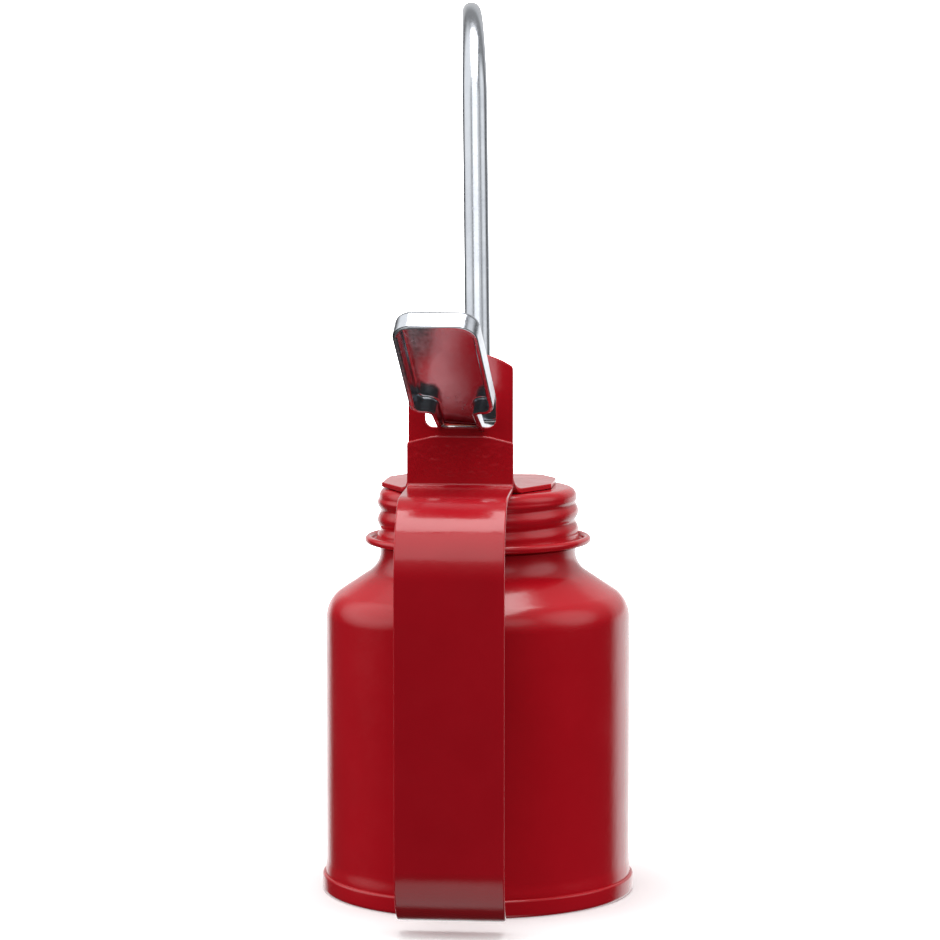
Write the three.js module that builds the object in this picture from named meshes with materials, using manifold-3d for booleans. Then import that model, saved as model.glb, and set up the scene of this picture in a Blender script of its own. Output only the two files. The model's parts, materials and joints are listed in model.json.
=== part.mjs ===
// A thumb-lever pump oil can, in millimetres: +Z up, the can's axis on Z, its foot on Z = 0,
// the handle towards -Y and the spout leaning towards +Y.
//
// The can is a steel bottle with a rolled neck thread. Everything else hangs from its screw cap: a bracket
// clamped under the pump's head, a strip handle welded to the bracket, and a lift pump whose hollow plunger
// carries the spout. The lever rocks on the lower edge of the bracket's window. Pressing its pad lifts the
// plunger against the return spring, and the piston pushes oil through the rod and out of the spout.
import * as THREE from "three";
import { mergeVertices } from "three/addons/utils/BufferGeometryUtils.js";
import Module from "manifold-3d";

const wasm = await Module();
wasm.setup();

// ---- Driving dimensions ----
const GAP = 0.15; // between pieces that touch in the real object
const ROUND = 40; // segments round a large turned piece
const SMALL_ROUND = 20; // segments round a small turned piece
const DEG = Math.PI / 180;

const SHEET = 0.6; // can and cap sheet
const BODY_R = 37.5;
const BODY_TOP_Z = 68.2; // where the wall starts to turn into the shoulder
const SHOULDER_R = 7.7; // rounding from the wall into the shoulder's cone
const SHOULDER_TURN = 55; // degrees turned, which leaves the cone 35 degrees above level
const NECK_R = 24.1;
const NECK_FOOT = { z: 84.7, radius: 6.5 }; // the hollow rounding from the cone into the neck
const SEAM_R = 38.6; // bottom seam, outside
const SEAM_H = 4.4;
const PANEL_Z = 1.0; // underside of the bottom panel, above the seam's foot

const THREAD = { pitch: 4.47, depth: 0.85, crestZ: 94.43 }; // crestZ: a crest's height on the +X side
const CAP_MEAN_R = 24.42; // outside of the cap, half way between crest and root
const CAP_TOP_Z = 100.3;
const THREAD_CLEARANCE = 0.35;
const MOUTH_Z = 97.7;

const BRACKET_T = 1.2;
const BRACKET_X = -2.4; // the bracket stands this far off the can's axis
const BRACKET_TOP_Z = CAP_TOP_Z + GAP + BRACKET_T; // top of its base plate
const UPRIGHT_Y = -19.45; // rear face of the upright
const UPRIGHT_W = 25.4;
const UPRIGHT_Z = { corner: 131.2, peak: 134.7 };
const WINDOW = { width: 17.1, low: 116.55, high: 125.6, radius: 2 };

const STRIP_T = 1.5;
const STRIP_W = 25.8;
const STRIP_Y = -62; // middle of the strip's upright run
const STRIP_SKEW = 0.036; // sideways drift for each mm behind the bracket
const TAB_Z = { corner: 113.0, peak: 114.6 };

const LEVER_T = 1.2;
const LEVER_SKEW = 6.5 * DEG; // the lever lies askew in its window
const PIVOT = { reach: 19, z: 116.9 }; // from the pump's axis to the fulcrum, and the fulcrum's height
const ARM_DROP = 11 * DEG; // how far the fork hangs below level at rest
const PAD_SLOPE = 44 * DEG;
const NECK_L = 9.5; // fulcrum to the pad's near end, along the pad
const PAD_L = 32;
const PAD_W = 20.5;
const LIP = 4.5; // depth of the pad's turned-down lip

const BARREL_R = 6;
const BORE_R = 4.6;
const ROD_R = 3;
const BALL_R = 2;
const PISTON_Z = 40; // foot of the piston at rest
const COLLAR_R = 6;
const FORK_GAP = { low: 111.8, high: 115.8 }; // between the two collars that the fork works in

const SPOUT_R = 3.15;
const TIP_R = 1.95;
const SPOUT_BORE = 2.1;
const SPOUT_TURN = 7 * DEG; // the spout is swung this far to the left of straight ahead
const SPOUT_LEAN = 23 * DEG;

// ---- Materials ----
const finish = (color, roughness, metalness) =>
  new THREE.MeshStandardMaterial({ color, roughness, metalness });
const RED = finish(0xa50f16, 0.25, 0);
const ZINC = finish(0xc9ced2, 0.28, 1);
const STEEL = finish(0x9fa3a6, 0.35, 1);
const BRASS = finish(0xb08d57, 0.35, 1);
const RUBBER = finish(0x1b1b1b, 0.8, 0);
const LEATHER = finish(0x6b4a2e, 0.8, 0);

// ---- Helpers ----
// A solid for cutting and joining, from a closed geometry of either orientation.
function solid(geometry) {
  const bare = geometry.index ? geometry.toNonIndexed() : geometry.clone();
  bare.deleteAttribute("normal");
  bare.deleteAttribute("uv");
  const merged = mergeVertices(bare, 1e-4);
  const index = merged.index.array;
  const triangles = [];
  for (let i = 0; i < index.length; i += 3) {
    const [a, b, c] = index.slice(i, i + 3);
    if (a !== b && b !== c && c !== a) triangles.push(a, b, c);
  }
  const build = (triVerts) =>
    new wasm.Manifold(
      new wasm.Mesh({
        numProp: 3,
        vertProperties: merged.attributes.position.array,
        triVerts: new Uint32Array(triVerts),
      }),
    );
  const made = build(triangles);
  return made.volume() > 0 ? made : build(triangles.reverse());
}

function geometryOf(body) {
  const mesh = body.getMesh();
  const positions = new Float32Array(mesh.numVert * 3);
  for (let i = 0; i < mesh.numVert; i++) {
    const start = i * mesh.numProp;
    positions.set(mesh.vertProperties.subarray(start, start + 3), i * 3);
  }
  return new THREE.BufferGeometry()
    .setAttribute("position", new THREE.BufferAttribute(positions, 3))
    .setIndex(new THREE.BufferAttribute(mesh.triVerts, 1));
}

// A turned piece about Z from a closed outline of [radius, z] points.
function turned(outline, segments = SMALL_ROUND) {
  const points = outline.map(([r, z]) => new THREE.Vector2(r, z));
  points.push(points[0].clone());
  return new THREE.LatheGeometry(points, segments).rotateX(Math.PI / 2);
}

const ring = (inner, outer, low, high, segments) =>
  turned([[inner, low], [outer, low], [outer, high], [inner, high]], segments);

const rod = (radius, low, high, segments = SMALL_ROUND) =>
  new THREE.CylinderGeometry(radius, radius, high - low, segments)
    .rotateX(Math.PI / 2)
    .translate(0, 0, (low + high) / 2);

// Points of an arc about [cx, cy], from one angle to another in degrees.
function arc(cx, cy, radius, from, to, steps) {
  return Array.from({ length: steps + 1 }, (_, i) => {
    const angle = (from + ((to - from) * i) / steps) * DEG;
    return [cx + radius * Math.cos(angle), cy + radius * Math.sin(angle)];
  });
}

// A flat outline pulled up along Z, from low to high.
function plate(shape, low, high, curveSegments = 5) {
  return new THREE.ExtrudeGeometry(shape, {
    depth: high - low,
    bevelEnabled: false,
    curveSegments,
  }).translate(0, 0, low);
}

// A closed outline through corners of [x, y, radius], with each corner rounded.
function rounded(corners, Type = THREE.Shape) {
  const shape = new Type();
  corners.forEach(([x, y, radius = 0], i) => {
    const corner = new THREE.Vector2(x, y);
    const near = (j) => {
      const [nx, ny] = corners[(i + j + corners.length) % corners.length];
      return corner.clone().add(new THREE.Vector2(nx - x, ny - y).setLength(radius));
    };
    const from = near(-1);
    const to = near(1);
    if (i === 0) shape.moveTo(from.x, from.y);
    else shape.lineTo(from.x, from.y);
    if (radius > 0) shape.quadraticCurveTo(x, y, to.x, to.y);
  });
  shape.closePath();
  return shape;
}

function hexNut(acrossFlats, bore, low, high) {
  const outline = new THREE.Shape(
    Array.from({ length: 6 }, (_, i) => {
      const angle = (i * 60 + 30) * DEG;
      const r = acrossFlats / 2 / Math.cos(30 * DEG);
      return new THREE.Vector2(r * Math.cos(angle), r * Math.sin(angle));
    }),
  );
  outline.holes.push(new THREE.Path().absarc(0, 0, bore, 0, 2 * Math.PI, true));
  return plate(outline, low, high, 12);
}

// The thread's radial swing at an angle and height: a right-handed helix of round crests, which settles
// at each end of its span to a rest value (1 is the crest's radius and -1 the root's).
function threadSwing(angle, z, span, rest) {
  const phase = (2 * Math.PI * (z - THREAD.crestZ)) / THREAD.pitch - angle;
  const fadeIn = THREE.MathUtils.clamp((z - span[0]) / 0.8, 0, 1);
  const fadeOut = THREE.MathUtils.clamp((span[1] - z) / 0.8, 0, 1);
  const started = THREE.MathUtils.lerp(rest[0], Math.cos(phase), fadeIn);
  return (THREAD.depth / 2) * THREE.MathUtils.lerp(rest[1], started, fadeOut);
}

// Rolls the thread into the vertices of a turned piece that lie within a radius range and the span.
function rollThread(geometry, innerR, outerR, span, rest) {
  const at = geometry.attributes.position;
  for (let i = 0; i < at.count; i++) {
    const [x, y, z] = [at.getX(i), at.getY(i), at.getZ(i)];
    const r = Math.hypot(x, y);
    if (r < innerR || r > outerR || z < span[0] - 0.01 || z > span[1] + 0.01) continue;
    const scale = 1 + threadSwing(Math.atan2(y, x), z, span, rest) / r;
    at.setXY(i, x * scale, y * scale);
  }
  return geometry;
}

const heights = (from, to, count) =>
  Array.from({ length: count + 1 }, (_, i) => from + ((to - from) * i) / count);

// The tree follows what moves together: the can, the head that unscrews from it, and the plunger in the head.
const root = new THREE.Group();
const can = new THREE.Group();
const head = new THREE.Group();
const plunger = new THREE.Group();
root.add(can, head);
head.add(plunger);

// Adds a named piece to a group, its shape raised by z.
function add(group, name, shape, material, z = 0) {
  const body = shape instanceof wasm.Manifold ? shape : solid(shape);
  const mesh = new THREE.Mesh(geometryOf(body), material);
  mesh.name = name;
  mesh.position.z = z;
  group.add(mesh);
}

// ---- The can ----
const NECK_MEAN_R = CAP_MEAN_R - SHEET - THREAD_CLEARANCE;
const NECK_THREAD_Z = [86.15, 96.65];

function canBody() {
  const outside = [
    [BODY_R + 0.35, 0.9],
    [BODY_R + 0.35, SEAM_H],
    [BODY_R, 8],
    [BODY_R, BODY_TOP_Z],
    ...arc(BODY_R - SHOULDER_R, BODY_TOP_Z, SHOULDER_R, 12, SHOULDER_TURN, 4),
    ...arc(NECK_R + NECK_FOOT.radius, NECK_FOOT.z, NECK_FOOT.radius, 180 + SHOULDER_TURN, 180, 4),
    [NECK_R, 85.6],
    ...heights(NECK_THREAD_Z[0], NECK_THREAD_Z[1], 14).map((z) => [NECK_MEAN_R, z]),
    [NECK_MEAN_R - 0.4, MOUTH_Z - 0.3],
    [NECK_MEAN_R - 0.8, MOUTH_Z],
  ];
  const inside = [
    [20.6, MOUTH_Z],
    [20.6, MOUTH_Z - SHEET],
    [NECK_MEAN_R - 1.3, MOUTH_Z - 1.1],
    [NECK_MEAN_R - 1.3, NECK_FOOT.z],
    ...arc(NECK_R + NECK_FOOT.radius, NECK_FOOT.z, NECK_FOOT.radius + 0.7, 184, 180 + SHOULDER_TURN, 3),
    ...arc(BODY_R - SHOULDER_R, BODY_TOP_Z, SHOULDER_R - SHEET, SHOULDER_TURN, 8, 3),
    [BODY_R - SHEET, BODY_TOP_Z - 1],
    [BODY_R - SHEET, 8],
    [BODY_R + 0.35 - SHEET, SEAM_H],
    [BODY_R + 0.35 - SHEET, 0.9],
  ];
  const shell = turned([...outside, ...inside], ROUND);
  return rollThread(shell, NECK_MEAN_R - 0.1, NECK_MEAN_R + 0.1, NECK_THREAD_Z, [-1, -1]);
}

// The bottom is a pressed disc whose edge is rolled round the foot of the wall.
function canBottom() {
  const wallOut = BODY_R + 0.35 + GAP;
  const wallIn = BODY_R + 0.35 - SHEET - 0.2;
  return turned([
    [0, PANEL_Z],
    [wallIn - 1.2, PANEL_Z],
    [wallIn - 0.6, 0],
    [SEAM_R - 0.7, 0],
    [SEAM_R - 0.1, 0.6],
    [SEAM_R, 1.5],
    [SEAM_R, 3],
    [SEAM_R - 0.2, SEAM_H - 0.4],
    [wallOut + 0.1, SEAM_H],
    [wallOut, SEAM_H - 0.2],
    [wallOut, SHEET],
    [wallIn, SHEET],
    [wallIn, PANEL_Z + SHEET],
    [0, PANEL_Z + SHEET],
  ], ROUND);
}

add(can, "can_body", canBody(), RED);
add(can, "can_bottom", canBottom(), RED);

// ---- The cap ----
const CAP_THREAD_Z = [88.4, 98.9];

// A screw cap rolled from one sheet, its lower edge flared into a channel and curled into a bead.
function screwCap() {
  const rows = heights(CAP_THREAD_Z[0], CAP_THREAD_Z[1], 14);
  const bead = arc(27.0, 87.4, 0.95, -90, 150, 5);
  const skirtIn = CAP_MEAN_R - SHEET;
  const outline = [
    [24.4, 86.45],
    ...bead,
    [26.1, 87.05],
    [25.1, 87.05],
    ...rows.map((z) => [CAP_MEAN_R, z]),
    ...arc(CAP_MEAN_R - 2, CAP_TOP_Z - 1.2, 1.2, 20, 90, 3),
    [BARREL_R + 0.3, CAP_TOP_Z],
    [BARREL_R + 0.3, CAP_TOP_Z - SHEET],
    [CAP_MEAN_R - 2, CAP_TOP_Z - SHEET],
    ...rows.reverse().map((z) => [skirtIn, z]),
    [24.4, 87.6],
  ];
  const shell = turned(outline, ROUND);
  return rollThread(shell, skirtIn - 0.05, CAP_MEAN_R + 0.05, CAP_THREAD_Z, [1, 0]);
}

add(head, "screw_cap", screwCap(), RED);
add(head, "cap_gasket", ring(19.4, 22.6, MOUTH_Z + GAP, CAP_TOP_Z - SHEET - GAP, 36), RUBBER);

// ---- Bracket and handle ----
// One stamping: a base plate with clipped corners, and an upright with an arched top and a window.
function bracket() {
  const base = rounded([
    [14.4, -19.4, 0.4], [21, -5, 2], [21, 11, 4], [16.5, 20, 3],
    [-16.5, 20, 3], [-21, 11, 4], [-21, -5, 2], [-14.4, -19.4, 0.4],
  ]);
  base.holes.push(new THREE.Path().absarc(-BRACKET_X, 0, BARREL_R + 0.3, 0, 2 * Math.PI, true));
  const half = UPRIGHT_W / 2;
  const low = BRACKET_TOP_Z - BRACKET_T;
  const front = new THREE.Shape();
  front.moveTo(-half - 1.7, low);
  front.lineTo(half + 1.7, low);
  front.quadraticCurveTo(half, low + 0.8, half, low + 4.2);
  front.lineTo(half, UPRIGHT_Z.corner);
  front.quadraticCurveTo(half * 0.55, UPRIGHT_Z.peak, 0, UPRIGHT_Z.peak);
  front.quadraticCurveTo(-half * 0.55, UPRIGHT_Z.peak, -half, UPRIGHT_Z.corner);
  front.lineTo(-half, low + 4.2);
  front.quadraticCurveTo(-half, low + 0.8, -half - 1.7, low);
  const side = WINDOW.width / 2;
  front.holes.push(
    rounded([
      [-side, WINDOW.low, WINDOW.radius], [-side, WINDOW.high, WINDOW.radius],
      [side, WINDOW.high, WINDOW.radius], [side, WINDOW.low, WINDOW.radius],
    ], THREE.Path),
  );
  // Turned upright about X, the outline's height becomes Z and its thickness runs towards -Y.
  const upright = plate(front, 0, BRACKET_T).rotateX(Math.PI / 2).translate(0, UPRIGHT_Y + BRACKET_T, 0);
  return solid(plate(base, low, BRACKET_TOP_Z).translate(BRACKET_X, 0, 0)).add(
    solid(upright.translate(BRACKET_X, 0, 0)),
  );
}

// A steel strip folded at its tab, over the top bend, down behind the can and in at the foot.
function handleStrip() {
  const half = STRIP_T / 2;
  const tabY = UPRIGHT_Y - GAP - half; // middle of the tab's thickness
  const shelfZ = BRACKET_TOP_Z - 0.05; // middle of the level run
  const fold = 1.6;
  const bend = 17.5;
  const foot = 13.5;
  const footZ = 16.3;
  // The middle line as [distance behind the axis, z], from the tab's top to the foot's end.
  const line = [
    [-tabY, TAB_Z.peak],
    ...arc(-tabY + fold, shelfZ + fold, fold, 180, 270, 4),
    ...arc(-STRIP_Y - bend, shelfZ - bend, bend, 90, 0, 8),
    ...arc(-STRIP_Y - foot, footZ, foot, 0, -75, 6),
  ].map(([y, z]) => new THREE.Vector2(y, z));
  const normalAt = (i) => {
    const from = line[Math.max(0, i - 1)];
    const to = line[Math.min(line.length - 1, i + 1)];
    const along = to.clone().sub(from).normalize();
    return new THREE.Vector2(-along.y, along.x).multiplyScalar(half);
  };
  const outer = line.map((p, i) => p.clone().add(normalAt(i)));
  const inner = line.map((p, i) => p.clone().sub(normalAt(i)));
  const profile = new THREE.Shape([...outer, ...inner.reverse()]);
  // The profile's x becomes -Y, its y becomes Z and the strip's width runs along X.
  const strip = plate(profile, -STRIP_W / 2, STRIP_W / 2);
  strip.applyMatrix4(
    new THREE.Matrix4().set(0, 0, -1, 0, -1, 0, 0, 0, 0, 1, 0, 0, 0, 0, 0, 1),
  );
  // The tab's top is cut to an arch, by the plan of the strip seen from behind.
  const w = STRIP_W / 2;
  const arch = new THREE.Shape();
  arch.moveTo(-w - 1, 0);
  arch.lineTo(w + 1, 0);
  arch.lineTo(w + 1, TAB_Z.corner);
  arch.lineTo(w, TAB_Z.corner);
  arch.quadraticCurveTo(w * 0.5, TAB_Z.peak, 0, TAB_Z.peak - 0.02);
  arch.quadraticCurveTo(-w * 0.5, TAB_Z.peak, -w, TAB_Z.corner);
  arch.lineTo(-w - 1, TAB_Z.corner);
  const keep = plate(arch, -5, 80).rotateX(Math.PI / 2);
  const skew = new THREE.Matrix4().set(
    1, -STRIP_SKEW, 0, BRACKET_X + STRIP_SKEW * tabY, 0, 1, 0, 0, 0, 0, 1, 0, 0, 0, 0, 1,
  );
  return geometryOf(solid(strip).intersect(solid(keep))).applyMatrix4(skew);
}

add(head, "bracket", bracket(), RED);
add(head, "handle_strip", handleStrip(), RED);

// ---- The lever ----
// A stamping in two flats: a forked arm inside the window, and a neck with a lipped pad outside it.
function lever() {
  // Each flat is drawn with y running outwards from the fulcrum and its underside on z = 0.
  const neckHalf = 5.6;
  const padHalf = PAD_W / 2;
  const padEnd = NECK_L + PAD_L;
  const outline = (inset) =>
    rounded([
      [-neckHalf + inset, -1 - inset, 0], [neckHalf - inset, -1 - inset, 0],
      [neckHalf - inset, NECK_L + inset, 1.2 + inset],
      [padHalf - inset, NECK_L + inset, 3.3 - inset],
      [padHalf - inset, padEnd - inset, 4.6 - inset],
      [-padHalf + inset, padEnd - inset, 4.6 - inset],
      [-padHalf + inset, NECK_L + inset, 3.3 - inset],
      [-neckHalf + inset, NECK_L + inset, 1.2 + inset],
    ]);
  const hollow = plate(outline(LEVER_T), -LIP - 1, 0);
  // The lip runs out along the neck, to leave the window's edge clear.
  const taper = new THREE.Shape(
    [[-3, 0], [1.8, 0], [NECK_L + 1, -LIP], [NECK_L + 1, -LIP - 2], [-3, -LIP - 2]].map(
      ([y, z]) => new THREE.Vector2(y, z),
    ),
  );
  const wedge = plate(taper, -20, 20).applyMatrix4(
    new THREE.Matrix4().set(0, 0, 1, 0, 1, 0, 0, 0, 0, 1, 0, 0, 0, 0, 0, 1),
  );
  const beforeBend = new THREE.BoxGeometry(40, 10, 20).translate(0, -5, 0);
  const pad = solid(plate(outline(0), -LIP, LEVER_T))
    .subtract(solid(hollow))
    .subtract(solid(wedge))
    .subtract(solid(beforeBend));

  const reach = PIVOT.reach / Math.cos(ARM_DROP);
  const slot = ROD_R + 0.45;
  const prong = slot + 2.9;
  const arm = rounded([
    [-neckHalf, 0, 0], [-neckHalf, -6, 2], [-prong, -reach + 8, 2], [-prong, -reach - 5.4, 1.4],
    [-slot, -reach - 5.4, 1.4], [-slot, -reach + 4.4, 3.2], [slot, -reach + 4.4, 3.2],
    [slot, -reach - 5.4, 1.4], [prong, -reach - 5.4, 1.4], [prong, -reach + 8, 2],
    [neckHalf, -6, 2], [neckHalf, 0, 0],
  ]);
  // Outwards is -Y on the part, and each flat is tilted up from level.
  const placed = (body, slope) =>
    solid(
      geometryOf(body)
        .rotateX(slope)
        .applyMatrix4(new THREE.Matrix4().makeRotationZ(Math.PI))
        .translate(0, -PIVOT.reach, PIVOT.z)
        .rotateZ(-LEVER_SKEW),
    );
  return placed(pad, PAD_SLOPE).add(placed(solid(plate(arm, 0, LEVER_T)), ARM_DROP));
}

add(head, "lever", lever(), ZINC);

// ---- The pump, from its head down ----
const HEAD_Z = BRACKET_TOP_Z + GAP; // the barrel's head stands on the bracket
const HEAD_H = 4;
const PACKING_Z = HEAD_Z - 1.6;
const GLAND_Z = HEAD_Z + HEAD_H;
const BARREL_LOW = 28;

function pumpBarrel() {
  const tube = solid(ring(BORE_R, BARREL_R, BARREL_LOW, HEAD_Z + 1, SMALL_ROUND));
  const head = solid(hexNut(16, BORE_R, HEAD_Z, GLAND_Z));
  return tube.add(head).subtract(solid(rod(5.3, PACKING_Z, GLAND_Z + 1)));
}

function glandNut() {
  const top = GLAND_Z + GAP;
  const spigot = solid(ring(ROD_R + 0.2, 5.0, PACKING_Z + 3.1, top + 1));
  return spigot.add(solid(hexNut(14, ROD_R + 0.2, top, top + 4)));
}

add(head, "pump_barrel", pumpBarrel(), BRASS);
add(head, "gland_washer", ring(ROD_R + 0.2, 5.1, PACKING_Z + GAP, PACKING_Z + 0.8), STEEL);
add(head, "gland_packing", ring(ROD_R + 0.12, 5.1, PACKING_Z + 0.95, PACKING_Z + 2.95), LEATHER);
add(head, "gland_nut", glandNut(), ZINC);
add(head, "barrel_seal_washer", ring(BARREL_R + 0.3, 10.5, 98.15, CAP_TOP_Z - SHEET - GAP), RUBBER);
add(head, "barrel_lock_nut", hexNut(19, BARREL_R + 0.2, 93.5, 98), BRASS);

// The foot valve: a plug in the barrel's end with a ball on a seat, and a pin that keeps the ball in.
const SEAT_Z = 30; // edge of the seat that the ball rests on
const SEAT_R = 1.4;
const INLET_PIN_Z = SEAT_Z + 5;
const ballCentre = (seat) => seat + Math.sqrt(BALL_R ** 2 - SEAT_R ** 2) + 0.05;

function inletValveBody() {
  const plug = turned([
    [2.9, 19], [BARREL_R, 19], [BARREL_R, BARREL_LOW - GAP], [BORE_R - 0.1, BARREL_LOW - GAP],
    [BORE_R - 0.1, 37], [2.5, 37], [2.5, SEAT_Z + 1.2], [SEAT_R, SEAT_Z], [SEAT_R, 25.5], [2.9, 25.5],
  ]);
  return solid(plug).subtract(solid(crossPin(0.7, 12).translate(0, 0, INLET_PIN_Z)));
}

const crossPin = (radius, length) =>
  new THREE.CylinderGeometry(radius, radius, length, 10).rotateZ(Math.PI / 2);

const ball = () => new THREE.IcosahedronGeometry(BALL_R, 2);

add(head, "inlet_valve_body", inletValveBody(), BRASS);
add(head, "inlet_ball", ball(), STEEL, ballCentre(SEAT_Z));
add(head, "inlet_ball_pin", crossPin(0.5, 8.6), STEEL, INLET_PIN_Z);

// The suction tube reaches nearly to the bottom, its foot cut on the slant so that it can't seal there.
function suctionTube() {
  const tube = solid(ring(1.9, 2.7, 3.2, 25.3));
  const slant = new THREE.BoxGeometry(12, 12, 6).rotateY(30 * DEG).translate(0, 0, 1.6);
  return tube.subtract(solid(slant));
}

add(head, "suction_tube", suctionTube(), BRASS);

// ---- The plunger ----
const OUTLET_SEAT_Z = PISTON_Z + 3;
const PISTON_TOP = PISTON_Z + 11.5;
const OUTLET_PIN_Z = OUTLET_SEAT_Z + 5;
const CUP_Z = PISTON_Z + 4;

// The piston is waisted for its leather cup, and holds the delivery ball below the rod.
function piston() {
  const outer = BORE_R - 0.25;
  const body = turned([
    [SEAT_R, PISTON_Z], [3.3, PISTON_Z], [3.3, CUP_Z - 0.1], [outer, CUP_Z - 0.1],
    [outer, PISTON_TOP], [ROD_R + 0.1, PISTON_TOP], [ROD_R + 0.1, PISTON_Z + 9], [2.5, PISTON_Z + 9],
    [2.5, OUTLET_SEAT_Z + 1.2], [SEAT_R, OUTLET_SEAT_Z],
  ]);
  return solid(body).subtract(solid(crossPin(0.7, 12).translate(0, 0, OUTLET_PIN_Z)));
}

// The rod is hollow, with a side port above the piston that lets oil back into its bore.
function plungerRod() {
  const tube = ring(1.5, ROD_R, PISTON_Z + 9.1, 121);
  return solid(tube).subtract(solid(crossPin(0.9, 12).translate(0, 0, PISTON_TOP + 2.5)));
}

add(plunger, "piston", piston(), BRASS);
add(plunger, "piston_cup", turned([
  [3.4, PISTON_Z + 2.6], [BORE_R - 0.1, PISTON_Z + 0.6], [BORE_R - 0.05, PISTON_Z + 0.6],
  [BORE_R - 0.05, CUP_Z - 0.2], [3.4, CUP_Z - 0.2],
]), LEATHER);
add(plunger, "outlet_ball", ball(), STEEL, ballCentre(OUTLET_SEAT_Z));
add(plunger, "outlet_ball_pin", crossPin(0.5, 8.2), STEEL, OUTLET_PIN_Z);
add(plunger, "plunger_rod", plungerRod(), STEEL);
add(plunger, "lower_collar", turned([
  [ROD_R + 0.1, 110.1], [COLLAR_R - 0.4, 110.1], [COLLAR_R, 110.5],
  [COLLAR_R, FORK_GAP.low], [ROD_R + 0.1, FORK_GAP.low],
]), STEEL);
add(plunger, "upper_collar", ring(ROD_R + 0.1, COLLAR_R, FORK_GAP.high, FORK_GAP.high + 1.2), STEEL);

// The spring that sends the plunger down, round the rod between the piston and the gland's washer.
class Helix extends THREE.Curve {
  constructor(radius, low, high, turns) {
    super();
    Object.assign(this, { radius, low, high, turns });
  }
  getPoint(t, target = new THREE.Vector3()) {
    const angle = 2 * Math.PI * this.turns * t;
    const z = this.low + (this.high - this.low) * t;
    return target.set(this.radius * Math.cos(angle), this.radius * Math.sin(angle), z);
  }
}

function returnSpring() {
  const wire = 0.42;
  const turns = 10;
  const section = new THREE.Shape().absarc(0, 0, wire, 0, 2 * Math.PI);
  const path = new Helix(3.8, PISTON_TOP + wire + 0.2, PACKING_Z - wire, turns);
  return new THREE.ExtrudeGeometry(section, {
    extrudePath: path,
    steps: turns * 9,
    curveSegments: 3,
    bevelEnabled: false,
  });
}

add(head, "return_spring", returnSpring(), STEEL);

// ---- The spout ----
const NUT_Z = FORK_GAP.high + 1.35;
const SPOUT_LOW = 121.3;

function spoutNut() {
  const nut = solid(hexNut(12, ROD_R + 0.2, NUT_Z, NUT_Z + 5.4));
  const collar = solid(ring(ROD_R + 0.35, 4.9, NUT_Z + 5, NUT_Z + 7.4));
  return nut.add(collar).subtract(solid(rod(SPOUT_R + 0.15, SPOUT_LOW - 0.2, NUT_Z + 9)));
}

// The spout's middle line in the plane it leans in, as a path of [forward, z].
function spoutPath() {
  const path = new THREE.CurvePath();
  let at = new THREE.Vector2(0, SPOUT_LOW);
  let heading = 90 * DEG; // above level
  const straight = (length) => {
    const to = at.clone().add(new THREE.Vector2(Math.cos(heading), Math.sin(heading)).multiplyScalar(length));
    path.add(new THREE.LineCurve(at, to));
    at = to;
  };
  const bendDown = (radius, angle) => {
    const centre = at.clone().add(
      new THREE.Vector2(Math.sin(heading), -Math.cos(heading)).multiplyScalar(radius),
    );
    const start = heading + Math.PI / 2;
    path.add(new THREE.EllipseCurve(centre.x, centre.y, radius, radius, start, start - angle, true));
    heading -= angle;
    at = centre.clone().add(
      new THREE.Vector2(-Math.sin(heading), Math.cos(heading)).multiplyScalar(radius),
    );
  };
  straight(4.2);
  bendDown(20, SPOUT_LEAN);
  straight(67.7);
  bendDown(38, 81 * DEG);
  straight(8);
  return path;
}

// A straight tapered tube, turned about Z and then bent along the path.
function spout() {
  const path = spoutPath();
  const length = path.getLength();
  const taperFrom = length - 58;
  const share = (z) => Math.max(0, (z - taperFrom) / (length - taperFrom));
  const wall = SPOUT_R - SPOUT_BORE;
  const radius = (z) => SPOUT_R + (TIP_R - SPOUT_R) * share(z);
  const rows = heights(0, length, 34);
  const tube = turned([
    ...rows.map((z) => [radius(z), z]),
    ...rows.reverse().map((z) => [radius(z) - wall * (1 - 0.25 * share(z)), z]),
  ], 12);
  const at = tube.attributes.position;
  for (let i = 0; i < at.count; i++) {
    const u = Math.min(1, Math.max(0, at.getZ(i) / length));
    const centre = path.getPointAt(u);
    const along = path.getTangentAt(u);
    const side = at.getY(i); // across the tube, in the plane of the bend
    at.setXYZ(i, at.getX(i), centre.x + side * along.y, centre.y - side * along.x);
  }
  return tube.rotateZ(SPOUT_TURN);
}

add(plunger, "spout_nut", spoutNut(), ZINC);
add(plunger, "spout", spout(), ZINC);

export default root;
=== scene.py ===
"""A thumb-lever pump oil can: its enamelled, plated and turned pieces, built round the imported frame.

Shapes are worked out in millimetres and written in metres. Outside sizes and heights come from the frame's
boxes where a box gives them; the named values in each piece are its roundings, radii and angles."""

import json
import math

import bmesh
import bpy
from mathutils import Matrix, Vector


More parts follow.
